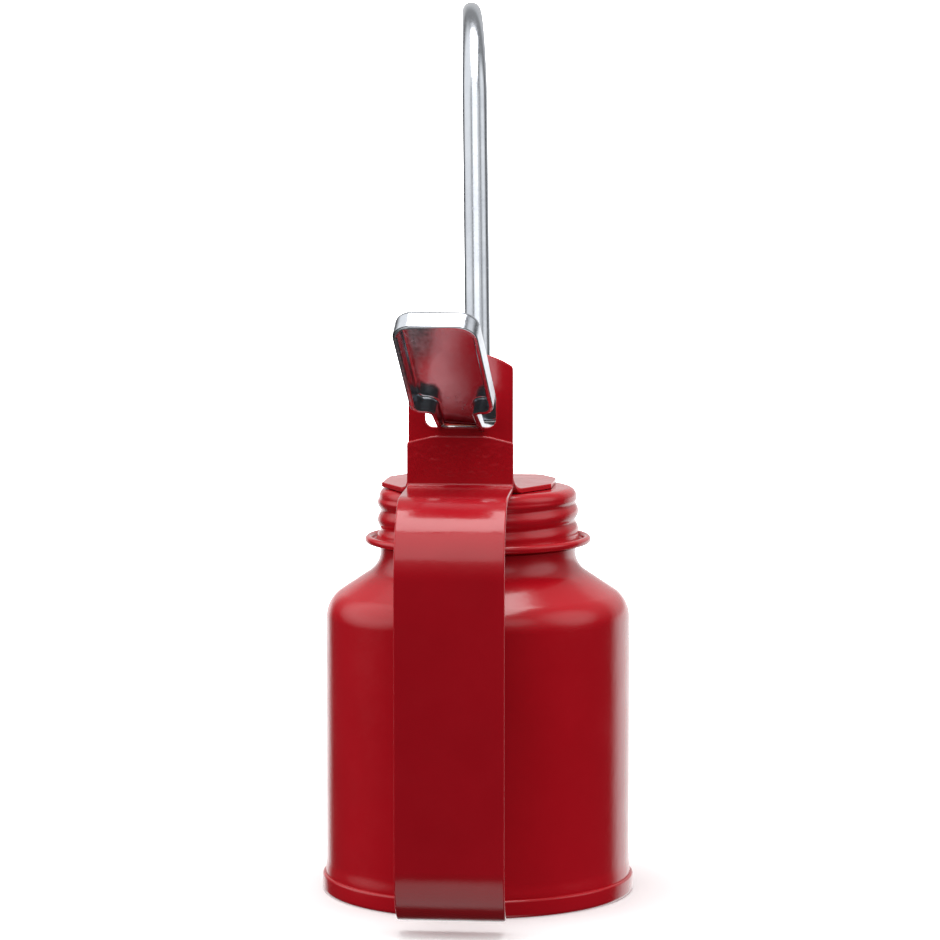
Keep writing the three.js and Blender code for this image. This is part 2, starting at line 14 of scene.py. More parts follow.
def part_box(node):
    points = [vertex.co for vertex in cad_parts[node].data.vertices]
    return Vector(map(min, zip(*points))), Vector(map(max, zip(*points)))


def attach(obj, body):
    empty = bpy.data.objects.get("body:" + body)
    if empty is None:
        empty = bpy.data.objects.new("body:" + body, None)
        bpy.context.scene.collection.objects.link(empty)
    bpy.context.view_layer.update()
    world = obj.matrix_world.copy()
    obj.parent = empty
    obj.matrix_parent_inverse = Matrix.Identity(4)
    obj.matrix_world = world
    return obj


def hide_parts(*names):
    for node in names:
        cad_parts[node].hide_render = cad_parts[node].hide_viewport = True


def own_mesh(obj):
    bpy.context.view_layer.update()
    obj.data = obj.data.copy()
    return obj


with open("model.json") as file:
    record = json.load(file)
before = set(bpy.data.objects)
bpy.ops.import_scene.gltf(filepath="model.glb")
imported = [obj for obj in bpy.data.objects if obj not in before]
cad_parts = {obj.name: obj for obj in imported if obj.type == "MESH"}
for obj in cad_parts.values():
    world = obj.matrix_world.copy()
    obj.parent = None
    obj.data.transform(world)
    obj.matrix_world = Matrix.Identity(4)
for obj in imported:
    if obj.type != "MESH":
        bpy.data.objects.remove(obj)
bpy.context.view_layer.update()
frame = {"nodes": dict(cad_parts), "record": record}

MM = 0.001
SHEET = 0.6  # thickness of the can's and the cap's sheet
FULL = 2 * math.pi
FINE = 192  # segments round a large turned piece
SMALL = 48  # segments round a small one
MIDDLING = 96  # and round a nut
SHARP = 38  # degrees between faces from which an edge isn't smoothed


def extent(node):
    """A CAD node's reach along +X from the can's axis, and its lowest and highest place, in millimetres."""
    low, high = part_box(node)
    return high[0] / MM, low[2] / MM, high[2] / MM


# ---------------------------------------------------------------- finishes


class Nodes:
    """A material or world node tree, with short calls for adding and wiring nodes."""

    def __init__(self, tree):
        self.tree = tree

    def add(self, kind, **inputs):
        """A node of that kind. Its inputs are values, or sockets to wire in."""
        node = self.tree.nodes.new(kind)
        for name, value in inputs.items():
            self.set(node, name.replace("_", " "), value)
        return node

    def set(self, node, name, value):
        if isinstance(value, bpy.types.NodeSocket):
            self.tree.links.new(value, node.inputs[name])
        else:
            node.inputs[name].default_value = value

    def noise(self, where, scale, detail=3.0, roughness=0.55):
        return self.add(
            "ShaderNodeTexNoise", Vector=where, Scale=scale, Detail=detail, Roughness=roughness
        ).outputs[0]

    def spread(self, value, low, high, start=0.3, end=0.7):
        """The value's range from start to end, laid over low to high."""
        node = self.tree.nodes.new("ShaderNodeMapRange")
        for i, setting in enumerate((value, start, end, low, high)):
            self.set(node, i, setting)
        return node.outputs[0]

    def mix(self, factor, a, b):
        node = self.tree.nodes.new("ShaderNodeMix")
        node.data_type = "RGBA"
        for i, setting in ((0, factor), (6, a), (7, b)):
            self.set(node, i, setting)
        return node.outputs[2]

    def combine(self, kind, a, b):
        node = self.tree.nodes.new("ShaderNodeMath")
        node.operation = kind
        self.set(node, 0, a)
        self.set(node, 1, b)
        return node.outputs[0]

    def times(self, a, b):
        return self.combine("MULTIPLY", a, b)

    def larger(self, a, b):
        return self.combine("MAXIMUM", a, b)

    def bump(self, height, strength, distance, over=None):
        """The normal of a surface raised by height, over another bump's normal if there is one."""
        node = self.add("ShaderNodeBump", Height=height, Strength=strength, Distance=distance)
        if over:
            self.set(node, "Normal", over)
        return node.outputs[0]


def new_material(name):
    material = bpy.data.materials.new(name)
    material.use_nodes = True
    nodes = Nodes(material.node_tree)
    shader = next(n for n in material.node_tree.nodes if n.type == "BSDF_PRINCIPLED")
    where = nodes.add("ShaderNodeTexCoord").outputs["Object"]
    return material, nodes, shader, where


def enamel(name, colour, dark, uneven=None):
    """Sprayed gloss enamel: slight pooling, orange peel and a faint waviness under a clear coat.

    uneven is a range of heights, in metres, whose metal is lumpy under the enamel."""
    material, nodes, shader, where = new_material(name)
    pooling = nodes.noise(where, 45.0, 4.0)
    nodes.set(shader, "Base Color", nodes.mix(nodes.spread(pooling, 0.0, 1.0), dark, colour))
    smear = nodes.noise(where, 130.0, 6.0, 0.65)
    nodes.set(shader, "Roughness", nodes.spread(smear, 0.16, 0.24))
    shader.inputs["Coat Weight"].default_value = 0.25
    nodes.set(shader, "Coat Roughness", nodes.spread(smear, 0.05, 0.12))
    shader.inputs["IOR"].default_value = 1.48
    surface = nodes.bump(nodes.noise(where, 650.0, 2.0), 0.06, 0.0003)
    surface = nodes.bump(nodes.noise(where, 70.0), 0.08, 0.0012, surface)
    if uneven:
        low, high = uneven
        height = nodes.add("ShaderNodeSeparateXYZ", Vector=where).outputs["Z"]
        above_low = nodes.spread(height, 0.0, 1.0, low, low + MM)
        below_high = nodes.spread(height, 1.0, 0.0, high - MM, high)
        inside = nodes.times(above_low, below_high)
        lumps = nodes.spread(nodes.noise(where, 520.0, 1.0), 0.0, 1.0, 0.42, 0.62)
        surface = nodes.bump(nodes.times(lumps, inside), 0.4, 0.0002, surface)
    nodes.set(shader, "Normal", surface)
    nodes.set(shader, "Coat Normal", surface)
    return material


def plated(name, colour, dark, rough, brushed=(1.0, 1.0, 1.0)):
    """Plated or bare metal with fine drawing marks, faint clouding and soft dents."""
    material, nodes, shader, where = new_material(name)
    shader.inputs["Metallic"].default_value = 1.0
    marks = nodes.add("ShaderNodeMapping", Vector=where, Scale=brushed).outputs[0]
    fine = nodes.noise(marks, 900.0, 3.0, 0.6)
    cloud = nodes.noise(where, 85.0, 5.0, 0.6)
    nodes.set(shader, "Base Color", nodes.mix(nodes.spread(cloud, 0.0, 1.0), dark, colour))
    blur = nodes.times(nodes.spread(fine, 0.75, 1.25), nodes.spread(cloud, rough * 1.3, rough * 0.8))
    nodes.set(shader, "Roughness", blur)
    grain = nodes.bump(fine, 0.03, 0.0002)
    dents = nodes.bump(nodes.noise(where, 90.0, 1.5), 0.05, 0.001, grain)
    nodes.set(shader, "Normal", dents)
    return material


def matt(name, colour, dark, rough, grain_size):
    """Rubber or leather: a dull surface with a fine grain."""
    material, nodes, shader, where = new_material(name)
    grain = nodes.noise(where, grain_size, 6.0, 0.7)
    nodes.set(shader, "Base Color", nodes.mix(nodes.spread(grain, 0.0, 1.0), dark, colour))
    nodes.set(shader, "Roughness", nodes.spread(grain, rough - 0.1, rough + 0.08))
    nodes.set(shader, "Normal", nodes.bump(grain, 0.35, 0.0003))
    return material


RED, DEEP_RED = (0.53, 0.0060, 0.0150, 1), (0.48, 0.0050, 0.0125, 1)
# The handle strip's reds are the can's red made a little darker: painted shade for the lesser light on the
# strip's flat face
STRIP_SHADE_RED, STRIP_SHADE_DEEP_RED = (0.50, 0.0060, 0.0150, 1), (0.45, 0.0050, 0.0125, 1)
WELD = (0.1042, 0.1130)  # heights between which the handle's tab is lumpy

FINISHES = {
    "red_enamel": enamel("red_enamel", RED, DEEP_RED),
    "welded_shaded_enamel": enamel("welded_shaded_enamel", STRIP_SHADE_RED, STRIP_SHADE_DEEP_RED, WELD),
    "bright_zinc": plated("bright_zinc", (0.64, 0.67, 0.71, 1), (0.55, 0.58, 0.63, 1), 0.19),
    "steel": plated("steel", (0.60, 0.60, 0.61, 1), (0.48, 0.48, 0.49, 1), 0.28, (1.0, 1.0, 6.0)),
    "brass": plated("brass", (0.78, 0.56, 0.25, 1), (0.62, 0.42, 0.17, 1), 0.22, (1.0, 1.0, 8.0)),
    "rubber": matt("rubber", (0.030, 0.029, 0.028, 1), (0.014, 0.014, 0.014, 1), 0.75, 700.0),
    "leather": matt("leather", (0.21, 0.11, 0.050, 1), (0.11, 0.055, 0.025, 1), 0.72, 500.0),
}


# ---------------------------------------------------------------- shapes


def arc(cx, cy, radius, start, end, steps):
    """Points of an arc about (cx, cy), between two angles in degrees."""
    angles = [math.radians(start + (end - start) * i / steps) for i in range(steps + 1)]
    return [(cx + radius * math.cos(a), cy + radius * math.sin(a)) for a in angles]


def steps_of(start, end, steps):
    """Evenly spaced numbers from start to end, both included."""
    return [start + (end - start) * i / steps for i in range(steps + 1)]


def ease(value, low, high):
    """0 at low, 1 at high, easing in and out."""
    t = min(1.0, max(0.0, (value - low) / (high - low)))
    return t * t * (3 - 2 * t)


def turned(outline, segments=SMALL):
    """A piece turned about Z from a closed outline of (radius, z) points, or from one for each angle."""
    outline_at = outline if callable(outline) else lambda angle: outline
    verts = []
    for i in range(segments):
        angle = FULL * i / segments
        section = outline_at(angle)
        verts += [(r * math.cos(angle), r * math.sin(angle), z) for r, z in section]
    n = len(section)
    faces = []
    for i in range(segments):
        here, there = i * n, (i + 1) % segments * n
        faces += [(here + j, there + j, there + (j + 1) % n, here + (j + 1) % n) for j in range(n)]
    return verts, faces


def collar(node, inner, edge=0.3):
    """The outline of a ring as large as its node, with its outer edges rounded and its bore's broken."""
    outer, low, high = extent(node)
    nick = edge * 0.6
    return [
        (inner + nick, low),
        *arc(outer - edge, low + edge, edge, -90, 0, 4),
        *arc(outer - edge, high - edge, edge, 0, 90, 4),
        (inner + nick, high),
        (inner, high - nick),
        (inner, low + nick),
    ]


def hexagon(flats, inner, low, high, above=(), below=()):
    """Outlines of a hexagonal nut, its corners turned off at 30 degrees. flats is from its axis to a flat.

    above and below are points that carry its outside on into a turned part."""
    slope = math.tan(math.radians(30))
    shoulder = flats * 0.97
    soft, nick = 0.08, 0.25  # how far the chamfer's edge and the bore's edges are broken
    top = above[-1][1] if above else high
    foot = below[0][1] if below else low

    def outline(angle):
        across = flats / math.cos((angle + FULL / 12) % (FULL / 6) - FULL / 12)
        off = (across - shoulder) * slope
        rise = (0.1, 0.2) if below else (off - 0.05, off + 0.1)
        return [
            *below,
            (shoulder, low),
            (across - soft, low + rise[0]),
            (across, low + rise[1]),
            (across, high - off - 0.1),
            (across - soft, high - off + 0.05),
            (shoulder, high),
            *above,
            (inner + nick, top),
            (inner, top - nick),
            (inner, foot + nick),
            (inner + nick, foot),
        ]

    return outline


def rounded(corners, steps=8):
    """A closed outline round anticlockwise corners of (u, v, radius), as points with inward directions."""
    points = []
    for i, (u, v, radius) in enumerate(corners):
        corner = Vector((u, v))
        come = (corner - Vector(corners[i - 1][:2])).normalized()
        leave = (Vector(corners[(i + 1) % len(corners)][:2]) - corner).normalized()
        turn = math.atan2(come.cross(leave), come.dot(leave))
        side = 1 if turn > 0 else -1
        start = corner - come * radius * math.tan(abs(turn) / 2)
        centre = start + Vector((-come.y, come.x)) * radius * side
        for k in range(steps + 1):
            heading = math.atan2(come.y, come.x) + turn * k / steps
            inward = Vector((-math.sin(heading), math.cos(heading)))
            points.append((centre - inward * radius * side, inward))
    return points


class Trace:
    """A flat path of straights and bends. Each move is (length, degrees turned to the left)."""

    def __init__(self, start, heading, moves):
        self.moves = []
        point, heading, s = Vector(start), math.radians(heading), 0.0
        for length, turn in moves:
            self.moves.append((s, length, math.radians(turn), point, heading))
            s += length
            point, heading = self.at(s)
        self.length = s

    def at(self, s):
        """The point and the heading at a distance along the path."""
        begun = [move for move in self.moves if move[0] <= s] or self.moves[:1]
        first, length, turn, point, heading = begun[-1]
        s -= first
        if not turn:
            return point + Vector((math.cos(heading), math.sin(heading))) * s, heading
        end = heading + turn * s / length
        across = Vector((math.sin(end) - math.sin(heading), math.cos(heading) - math.cos(end)))
        return point + across * length / turn, end

    def cuts(self, degrees=4):
        """Where a sheet has to be cut to follow the bends."""
        found = []
        for first, length, turn, _, _ in self.moves:
            if turn:
                count = max(2, round(math.degrees(abs(turn)) / degrees))
                found += steps_of(first, first + length, count)
        return found


def stamped(outlines, edge_at, cuts, place):
    """A stamping: a flat outline and its holes, skinned by their edges' section, then bent by place.

    edge_at(v) lists the edge's (inset, height) points, from the top face to the underside, and
    place(u, v, height) says where a point of the flat sheet goes."""
    mesh = bmesh.new()
    rims = ([], [])
    for outline in outlines:
        loops = []
        for point, inward in outline:
            section = edge_at(point.y)
            loops.append([mesh.verts.new((*(point + inward * inset), height)) for inset, height in section])
        for here, there in zip(loops, loops[1:] + loops[:1]):
            for k in range(len(here) - 1):
                mesh.faces.new((here[k], there[k], there[k + 1], here[k + 1]))
            for rim, k in zip(rims, (0, -1)):
                rim.append(mesh.edges.get((here[k], there[k])))
    for rim in rims:
        bmesh.ops.triangle_fill(mesh, use_beauty=True, edges=rim)
    for v in cuts:
        geom = mesh.verts[:] + mesh.edges[:] + mesh.faces[:]
        bmesh.ops.bisect_plane(mesh, geom=geom, dist=1e-5, plane_co=(0, v, 0), plane_no=(0, 1, 0))
    for vert in mesh.verts:
        vert.co = place(*vert.co)
    return mesh


def plain_edge(thickness, edge=0.3):
    """The section of a sheet's rounded edge, from its top face to its underside."""
    low = thickness - edge
    return [
        *[(edge - r, low + h) for r, h in arc(0, 0, edge, 90, 0, 4)],
        *[(edge - r, edge + h) for r, h in arc(0, 0, edge, 0, -90, 4)],
    ]


def skin(rings, closed=False):
    """A skin over rings of points. A closed one joins its last ring to its first, another is capped."""
    n = len(rings[0])
    count = len(rings)
    verts = [tuple(p) for ring in rings for p in ring]
    faces = []
    for i in range(count if closed else count - 1):
        a, b = i * n, (i + 1) % count * n
        faces += [(a + j, a + (j + 1) % n, b + (j + 1) % n, b + j) for j in range(n)]
    if not closed:
        faces += [tuple(range(n)), tuple(range((count - 1) * n, count * n))]
    return verts, faces


def piece(node, shape, body, slot, finish=None, weighted=False):
    """Puts a shape in millimetres in place of a CAD node. Its finish is its slot's, unless one is given."""
    mesh = bpy.data.meshes.new(node + "_look")
    work = shape
    if isinstance(shape, tuple):
        mesh.from_pydata(shape[0], [], shape[1])
        work = bmesh.new()
        work.from_mesh(mesh)
    bmesh.ops.remove_doubles(work, verts=work.verts, dist=0.001)
    bmesh.ops.dissolve_degenerate(work, edges=work.edges, dist=0.0005)
    bmesh.ops.recalc_face_normals(work, faces=work.faces)
    work.to_mesh(mesh)
    work.free()
    mesh.transform(Matrix.Scale(MM, 4))
    mesh.shade_smooth()
    mesh.set_sharp_from_angle(angle=math.radians(SHARP))
    mesh.materials.append(FINISHES[finish or slot])
    obj = bpy.data.objects.new(node + "_look", mesh)
    bpy.context.scene.collection.objects.link(obj)
    if weighted:
        smoothing = obj.modifiers.new("flats", "WEIGHTED_NORMAL")
        smoothing.keep_sharp = True
    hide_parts(node)
    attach(obj, body)
    return obj


# ---------------------------------------------------------------- the can

PITCH = 4.47
THREAD_DEPTH = 0.85
THREAD_FADE = 1.3
CREST_Z = 94.43  # height of a thread crest on the +X side


def thread(angle, z, span, rest, plump=None):
    """How far a thread swings at a place, from -1 at its root to 1 at its crest.

    It fades to the two values of rest at the two ends of its span. plump gives it wide crests."""
    turn = (z - CREST_Z) / PITCH - angle / FULL
    swing = math.cos(FULL * turn)
    if plump:
        peak = math.sqrt(1 + plump * plump) - plump
        swing = 2 * (math.hypot(math.cos(math.pi * turn), plump) - plump) / peak - 1
    low, high = (ease(abs(z - end), 0, THREAD_FADE) for end in span)
    ends = rest[0] if abs(z - span[0]) < abs(z - span[1]) else rest[1]
    return ends + (swing - ends) * low * high


def can_body():
    """Spun from one sheet: a wall that swells over the seam, a shoulder's cone, and a rolled neck."""
    reach, foot, mouth = extent("can_body")
    swell, seam_top, swell_top = 0.35, 4.4, 8
    radius, shoulder, top = reach - swell, 7.7, 68.2
    neck_r, neck_z, neck_round = 24.1, 84.7, 6.5
    thread_r, span = 23.47, (86.15, 96.65)
    turn = 55  # degrees from the wall to the cone
    outside = [
        (radius + swell, foot),
        (radius + swell, seam_top),
        *[(radius + swell * (1 - ease(z, seam_top, swell_top)), z) for z in steps_of(4.6, swell_top, 6)],
        *[(radius, z) for z in steps_of(10, top - 1, 12)],
        *arc(radius - shoulder, top, shoulder, 0, turn, 22),
        *arc(neck_r + neck_round, neck_z, neck_round, 180 + turn, 180, 18),
        (neck_r, 85.6),
    ]
    mouth_r, roll, bore = 20.6, 0.55, 22.17
    lip = [
        *arc(22.3, mouth - roll, roll, 20, 90, 5),
        (mouth_r + 0.2, mouth),
        (mouth_r, mouth - 0.2),
        (mouth_r, mouth - SHEET),
    ]
    inside = [
        (bore - 0.07, 96.7),
        (bore, 96.2),
        (bore, neck_z),
        *arc(neck_r + neck_round, neck_z, neck_round + 0.7, 184, 180 + turn, 8),
        *arc(radius - shoulder, top, shoulder - SHEET, turn, 8, 10),
        (radius - SHEET, top - 1),
        (radius - SHEET, swell_top),
        (radius + swell - SHEET, seam_top),
        (radius + swell - SHEET, foot),
    ]
    rows = steps_of(*span, 56)

    def outline(angle):
        swung = [(thread_r + thread(angle, z, span, (-1, -1)) * THREAD_DEPTH / 2, z) for z in rows]
        return [*outside, *swung, *lip, *inside]

    return turned(outline, FINE)


def can_bottom():
    """The pressed bottom, its edge rolled round the foot of the wall, its panel stepped once."""
    seam, _, height = extent("can_bottom")
    wall_out, wall_in = 38.0, 37.05
    panel, step, step_r, groove = 1.0, 0.25, 24, 0.65
    return turned([
        (0, panel + step),
        (step_r, panel + step),
        *[(step_r + d, panel + step - step * ease(d, 0, 2)) for d in (0.5, 1, 1.5, 2)],
        (wall_in - 1.3, panel),
        *arc(wall_in + 0.1, groove, groove, 180, 270, 6),
        *arc(seam - 1.0, 1.0, 1.0, -90, 0, 8),
        *arc(seam - 0.6, height - 0.6, 0.6, 0, 110, 8),
        (wall_out, height - 0.3),
        (wall_out, groove),
        (wall_in, groove),
        (wall_in, panel + SHEET),
        (step_r + 2, panel + SHEET),
        (step_r, panel + step + SHEET),
        (0, panel + step + SHEET),
    ], FINE)


def screw_cap():
    """Rolled from one sheet, its lower edge flared into a channel and curled into a bead."""
    _, foot, top = extent("screw_cap")
    mean_r, corner, bore = 24.42, 2.3, 6.3
    low, high = 88.4, top - corner
    inner_low, skirt = 88.0, 24.4
    bead_r = 0.95
    bead = arc(27.0, foot + bead_r, bead_r, -90, 150, 20)
    gutter = arc(25.6, 87.5, 0.45, 0, -180, 8)
    rows = steps_of(low, high, 60)

    def wall(angle, z):
        return mean_r + thread(angle, z, (low, high), (1, 0), 0.2) * THREAD_DEPTH / 2

    def outline(angle):
        return [
            (skirt, foot),
            *bead,
            *gutter,
            *[(wall(angle, z), z) for z in rows],
            *arc(mean_r - corner, high, corner, 6, 90, 10),
            *[(r, top) for r in (18, 12)],
            (bore, top),
            (bore, top - SHEET),
            *[(r, top - SHEET) for r in (12, 18)],
            *arc(mean_r - corner, high, corner - SHEET, 90, 6, 6),
            *[(wall(angle, z) - SHEET, z) for z in reversed(rows)],
            (wall(angle, low) - SHEET, inner_low),
            (skirt, 87.6),
        ]

    return turned(outline, FINE)


piece("can_body", can_body(), "can", "red_enamel")
piece("can_bottom", can_bottom(), "can", "red_enamel")
piece("screw_cap", screw_cap(), "head", "red_enamel")

# ---------------------------------------------------------------- bracket and handle

TOUCHING = 0.15  # between pieces that touch in the real object
BRACKET_T = 1.2
BRACKET_X = -2.4
BRACKET_LOW = extent("bracket")[1]  # underside of its base plate
UPRIGHT_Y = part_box("bracket")[0][1] / MM  # rear face of the upright


def bracket():
    """One stamping: a base plate with clipped corners, and an upright with an arched top and a window."""
    bend, front_y = 1.5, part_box("bracket")[1][1] / MM
    flat = front_y - UPRIGHT_Y - BRACKET_T - bend
    bend_run = (bend + BRACKET_T) * math.pi / 2  # along the underside, which is the outside of the bend
    up = flat + bend_run - BRACKET_LOW - BRACKET_T - bend  # add a height to get a distance up the sheet
    trace = Trace((front_y, BRACKET_LOW), 180, [(flat, 0), (bend_run, -90), (40, 0)])
    half, corner, peak = 12.7, 131.2 + up, extent("bracket")[2] + up
    plan = [
        (-16.5, 0, 3), (16.5, 0, 3), (21, 9, 4), (21, 25, 2), (half, 41.2, 12),
        (half, corner, 1.2), (7.0, peak, 20), (-7.0, peak, 20), (-half, corner, 1.2),
        (-half, 41.2, 12), (-21, 25, 2), (-21, 9, 4),
    ]
    side, low, high = 8.55, 116.55 + up, 125.6 + up
    window = [(-side, low, 2), (-side, high, 2), (side, high, 2), (side, low, 2)]
    axis, bore_r = Vector((-BRACKET_X, front_y)), 6.3
    outwards = [Vector((math.cos(a), math.sin(a))) for a in steps_of(FULL, FULL / 64, 63)]
    bore = [(axis + out * bore_r, out) for out in outwards]

    def place(u, v, height):
        (y, z), heading = trace.at(v)
        return Vector((BRACKET_X + u, y + math.sin(heading) * height, z - math.cos(heading) * height))

    edge = plain_edge(BRACKET_T, 0.28)
    return stamped([rounded(plan, 10), rounded(window, 10), bore], lambda v: edge, trace.cuts(6), place)


def handle_strip():
    """A steel strip folded at its tab, over the top bend, down behind the can and in at the foot."""
    thickness, half, skew = 1.5, 12.9, 0.036
    tab_y = UPRIGHT_Y - TOUCHING - thickness / 2
    peak, shelf, back = 114.6, 101.6, -61.99  # of the sheet's middle: tab's top, level run, upright run
    fold, bend, foot, foot_z, foot_turn = 1.6, 17.5, 13.5, 16.3, 75
    trace = Trace((tab_y, peak), -90, [
        (peak - shelf - fold, 0),
        (fold * math.pi / 2, -90),
        (tab_y - back - fold - bend, 0),
        (bend * math.pi / 2, 90),
        (shelf - bend - foot_z, 0),
        (foot * math.radians(foot_turn), foot_turn),
    ])
    plan = [
        (-half, 1.6, 0.8), (-half * 0.5, 0, 14), (half * 0.5, 0, 14), (half, 1.6, 0.8),
        (half, trace.length, 2.0), (-half, trace.length, 2.0),
    ]

    def place(u, v, height):
        (y, z), heading = trace.at(v)
        out = height - thickness / 2
        shift = BRACKET_X + skew * (tab_y - y)
        return Vector((u + shift, y + math.sin(heading) * out, z - math.cos(heading) * out))

    edge = plain_edge(thickness, 0.4)
    return stamped([rounded(plan, 10)], lambda v: edge, trace.cuts(3), place)


piece("bracket", bracket(), "head", "red_enamel", weighted=True)
# The strip's finish is the red darkened as painted shade, with real weld lumps raised on its tab
piece("handle_strip", handle_strip(), "head", "red_enamel", "welded_shaded_enamel", weighted=True)

# ---------------------------------------------------------------- the lever


def lever():
    """A stamping in two flats: a forked arm inside the window, and a neck with a lipped pad outside it."""
    thickness, lip, bend = 1.2, 4.5, 1.9
    reach, pivot_z = 19.0, 116.9  # the fulcrum, from the pump's axis
    drop, slope, skew = 11, 44, math.radians(-6.5)
    neck, neck_l, pad, pad_l = 5.6, 9.5, 10.25, 32
    to_axis = reach / math.cos(math.radians(drop))
    slot, prong, tip = 3.45, 6.35, -to_axis - 5.4
    fold = 4.5  # underside radius where the two flats meet
    trim = fold * math.tan(math.radians(slope - drop) / 2)
    start = Vector((math.cos(math.radians(drop)), math.sin(math.radians(drop)))) * tip
    trace = Trace(start, drop, [
        (-tip - trim, 0),
        (2 * trim, slope - drop),
        (neck_l + pad_l, 0),
    ])
    end = neck_l + pad_l
    half_plan = [
        (slot, tip, 1.2), (prong, tip, 1.2), (prong, -to_axis + 8, 2), (neck, -6, 2), (neck, neck_l, 1.3),
        (pad, neck_l, 3.3), (pad, end, 4.6),
    ]
    other_half = [(-u, v, radius) for u, v, radius in reversed(half_plan)]
    crotch = [(-slot, -to_axis + 4.4, 3.2), (slot, -to_axis + 4.4, 3.2)]

    def edge_at(v):
        deep = lip * ease(v, 1.5, neck_l + 1.0)
        outer = min(bend, 0.35 + deep)
        inner = max(0.0, outer - thickness)
        blunt, inside_blunt = 0.3, min(0.3, deep / 2)
        return [
            *[(outer - r, thickness - outer + h) for r, h in arc(0, 0, outer, 90, 0, 8)],
            *[(blunt - r, blunt - deep + h) for r, h in arc(0, 0, blunt, 0, -90, 3)],
            (thickness - inside_blunt, -deep),
            (thickness, -deep + inside_blunt),
            *[(thickness + inner - r, h - inner) for r, h in arc(0, 0, inner, 0, 90, 6)],
        ]

    def place(u, v, height):
        (out, z), heading = trace.at(v - tip)
        y = -reach - out + math.sin(heading) * height
        return Matrix.Rotation(skew, 3, "Z") @ Vector((-u, y, pivot_z + z + math.cos(heading) * height))

    plan = [(u, v, radius) for u, v, radius in [*half_plan, *other_half, *crotch]]
    cuts = [v + tip for v in trace.cuts(3)] + steps_of(1.5, neck_l + 1.5, 12)
    return stamped([rounded(plan, 12)], edge_at, cuts, place)


piece("lever", lever(), "lever", "bright_zinc", weighted=True)

# ---------------------------------------------------------------- the pump and the spout


ROD_HOLE = 3.2  # radius of the holes that the plunger rod passes through


def ring_about(centre, across, up, radius, sides):
    angles = [FULL * k / sides for k in range(sides)]
    return [centre + across * radius * math.cos(a) + up * radius * math.sin(a) for a in angles]


def spout():
    """A drawn tube that leans forward from its nut, curls over and thins to its mouth."""
    base, tip, bore, wall, taper = 3.15, 1.95, 2.1, 1.05, 58.0
    mouth_r = 0.3  # rounding of the mouth
    lean, lean_r, curl, curl_r = 23, 20, 81, 38
    turn = Matrix.Rotation(math.radians(7), 3, "Z")
    trace = Trace((0, 121.26), 90, [
        (4.2, 0),
        (lean_r * math.radians(lean), -lean),
        (67.7, 0),
        (curl_r * math.radians(curl), -curl),
        (8, 0),
    ])
    near_mouth = steps_of(trace.length - 3 * mouth_r, trace.length - mouth_r, 3)
    places = sorted(set(steps_of(0, trace.length, 90) + near_mouth))
    outer, inner = [], []
    for s in places:
        (y, z), heading = trace.at(s)
        thin = max(0.0, s - trace.length + taper) / taper
        lip = mouth_r - math.sqrt(max(0.0, mouth_r ** 2 - max(0.0, s - trace.length + mouth_r) ** 2))
        radius = base + (tip - base) * thin - lip
        hole = min(bore, base + (tip - base) * thin - wall * (1 - 0.45 * thin)) + lip
        up = turn @ Vector((0, -math.sin(heading), math.cos(heading)))
        across = turn @ Vector((1, 0, 0))
        centre = turn @ Vector((0, y, z))
        outer.append(ring_about(centre, across, up, radius, SMALL))
        inner.append(ring_about(centre, across, up, hole, SMALL))
    return skin([*outer, *inner[::-1]], closed=True)


def return_spring():
    """Wire coiled ten times round the rod, its turns a little closer towards its ends."""
    wire, mean, low, high, turns = 0.42, 3.8, 52.12, 99.78, 10
    rings = []
    for s in steps_of(0, 1, turns * SMALL):
        climb = s + 0.035 * math.sin(FULL * s)
        angle = FULL * turns * s
        out = Vector((math.cos(angle), math.sin(angle), 0))
        centre = out * mean + Vector((0, 0, low + (high - low) * min(1, max(0, climb))))
        rings.append(ring_about(centre, out, Vector((0, 0, 1)), wire, 12))
    return skin(rings)


def gland_nut():
    """A nut over the pump's head, with a spigot that presses the packing."""
    flats, low, top = extent("gland_nut")
    spigot, head = 5.0, top - 4
    return turned(hexagon(flats, ROD_HOLE, head, top, below=[(spigot, low), (spigot, head)]), MIDDLING)


def spout_nut():
    """A nut with a turned collar above it."""
    flats, low, top = extent("spout_nut")
    head, edge = top - 2, 0.45
    above = [(4.9, head + 0.05), *arc(4.5, top - edge, edge, 0, 90, 4)]
    return turned(hexagon(flats, ROD_HOLE, low, head, above=above), MIDDLING)


def barrel_lock_nut():
    flats, low, top = extent("barrel_lock_nut")
    return turned(hexagon(flats, 6.2, low, top), MIDDLING)


piece("spout", spout(), "spout", "bright_zinc")
piece("spout_nut", spout_nut(), "spout", "bright_zinc")
piece("upper_collar", turned(collar("upper_collar", 3.15)), "plunger", "steel")
piece("lower_collar", turned(collar("lower_collar", 3.15)), "plunger", "steel")
piece("gland_nut", gland_nut(), "head", "bright_zinc")
piece("barrel_lock_nut", barrel_lock_nut(), "head", "brass")
piece("barrel_seal_washer", turned(collar("barrel_seal_washer", 6.3, 0.35)), "head", "rubber")
piece("cap_gasket", turned(collar("cap_gasket", 19.4, 0.4), FINE), "gasket", "rubber")
spring = piece("return_spring", return_spring(), "head", "steel")
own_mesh(spring)

# The pieces inside the pump keep their machined shapes and take the finish of their slot.
for subpart in frame["record"]["subparts"]:
    node = frame["nodes"][subpart["node"]]
    if not node.hide_render:
        for material_slot in node.material_slots:
            material_slot.material = FINISHES[subpart["material_slot"]]

# ---------------------------------------------------------------- floor, light and camera


def mesh_object(name, verts, faces):
    mesh = bpy.data.meshes.new(name)
    mesh.from_pydata(verts, [], faces)
    obj = bpy.data.objects.new(name, mesh)
    bpy.context.scene.collection.objects.link(obj)
    return obj


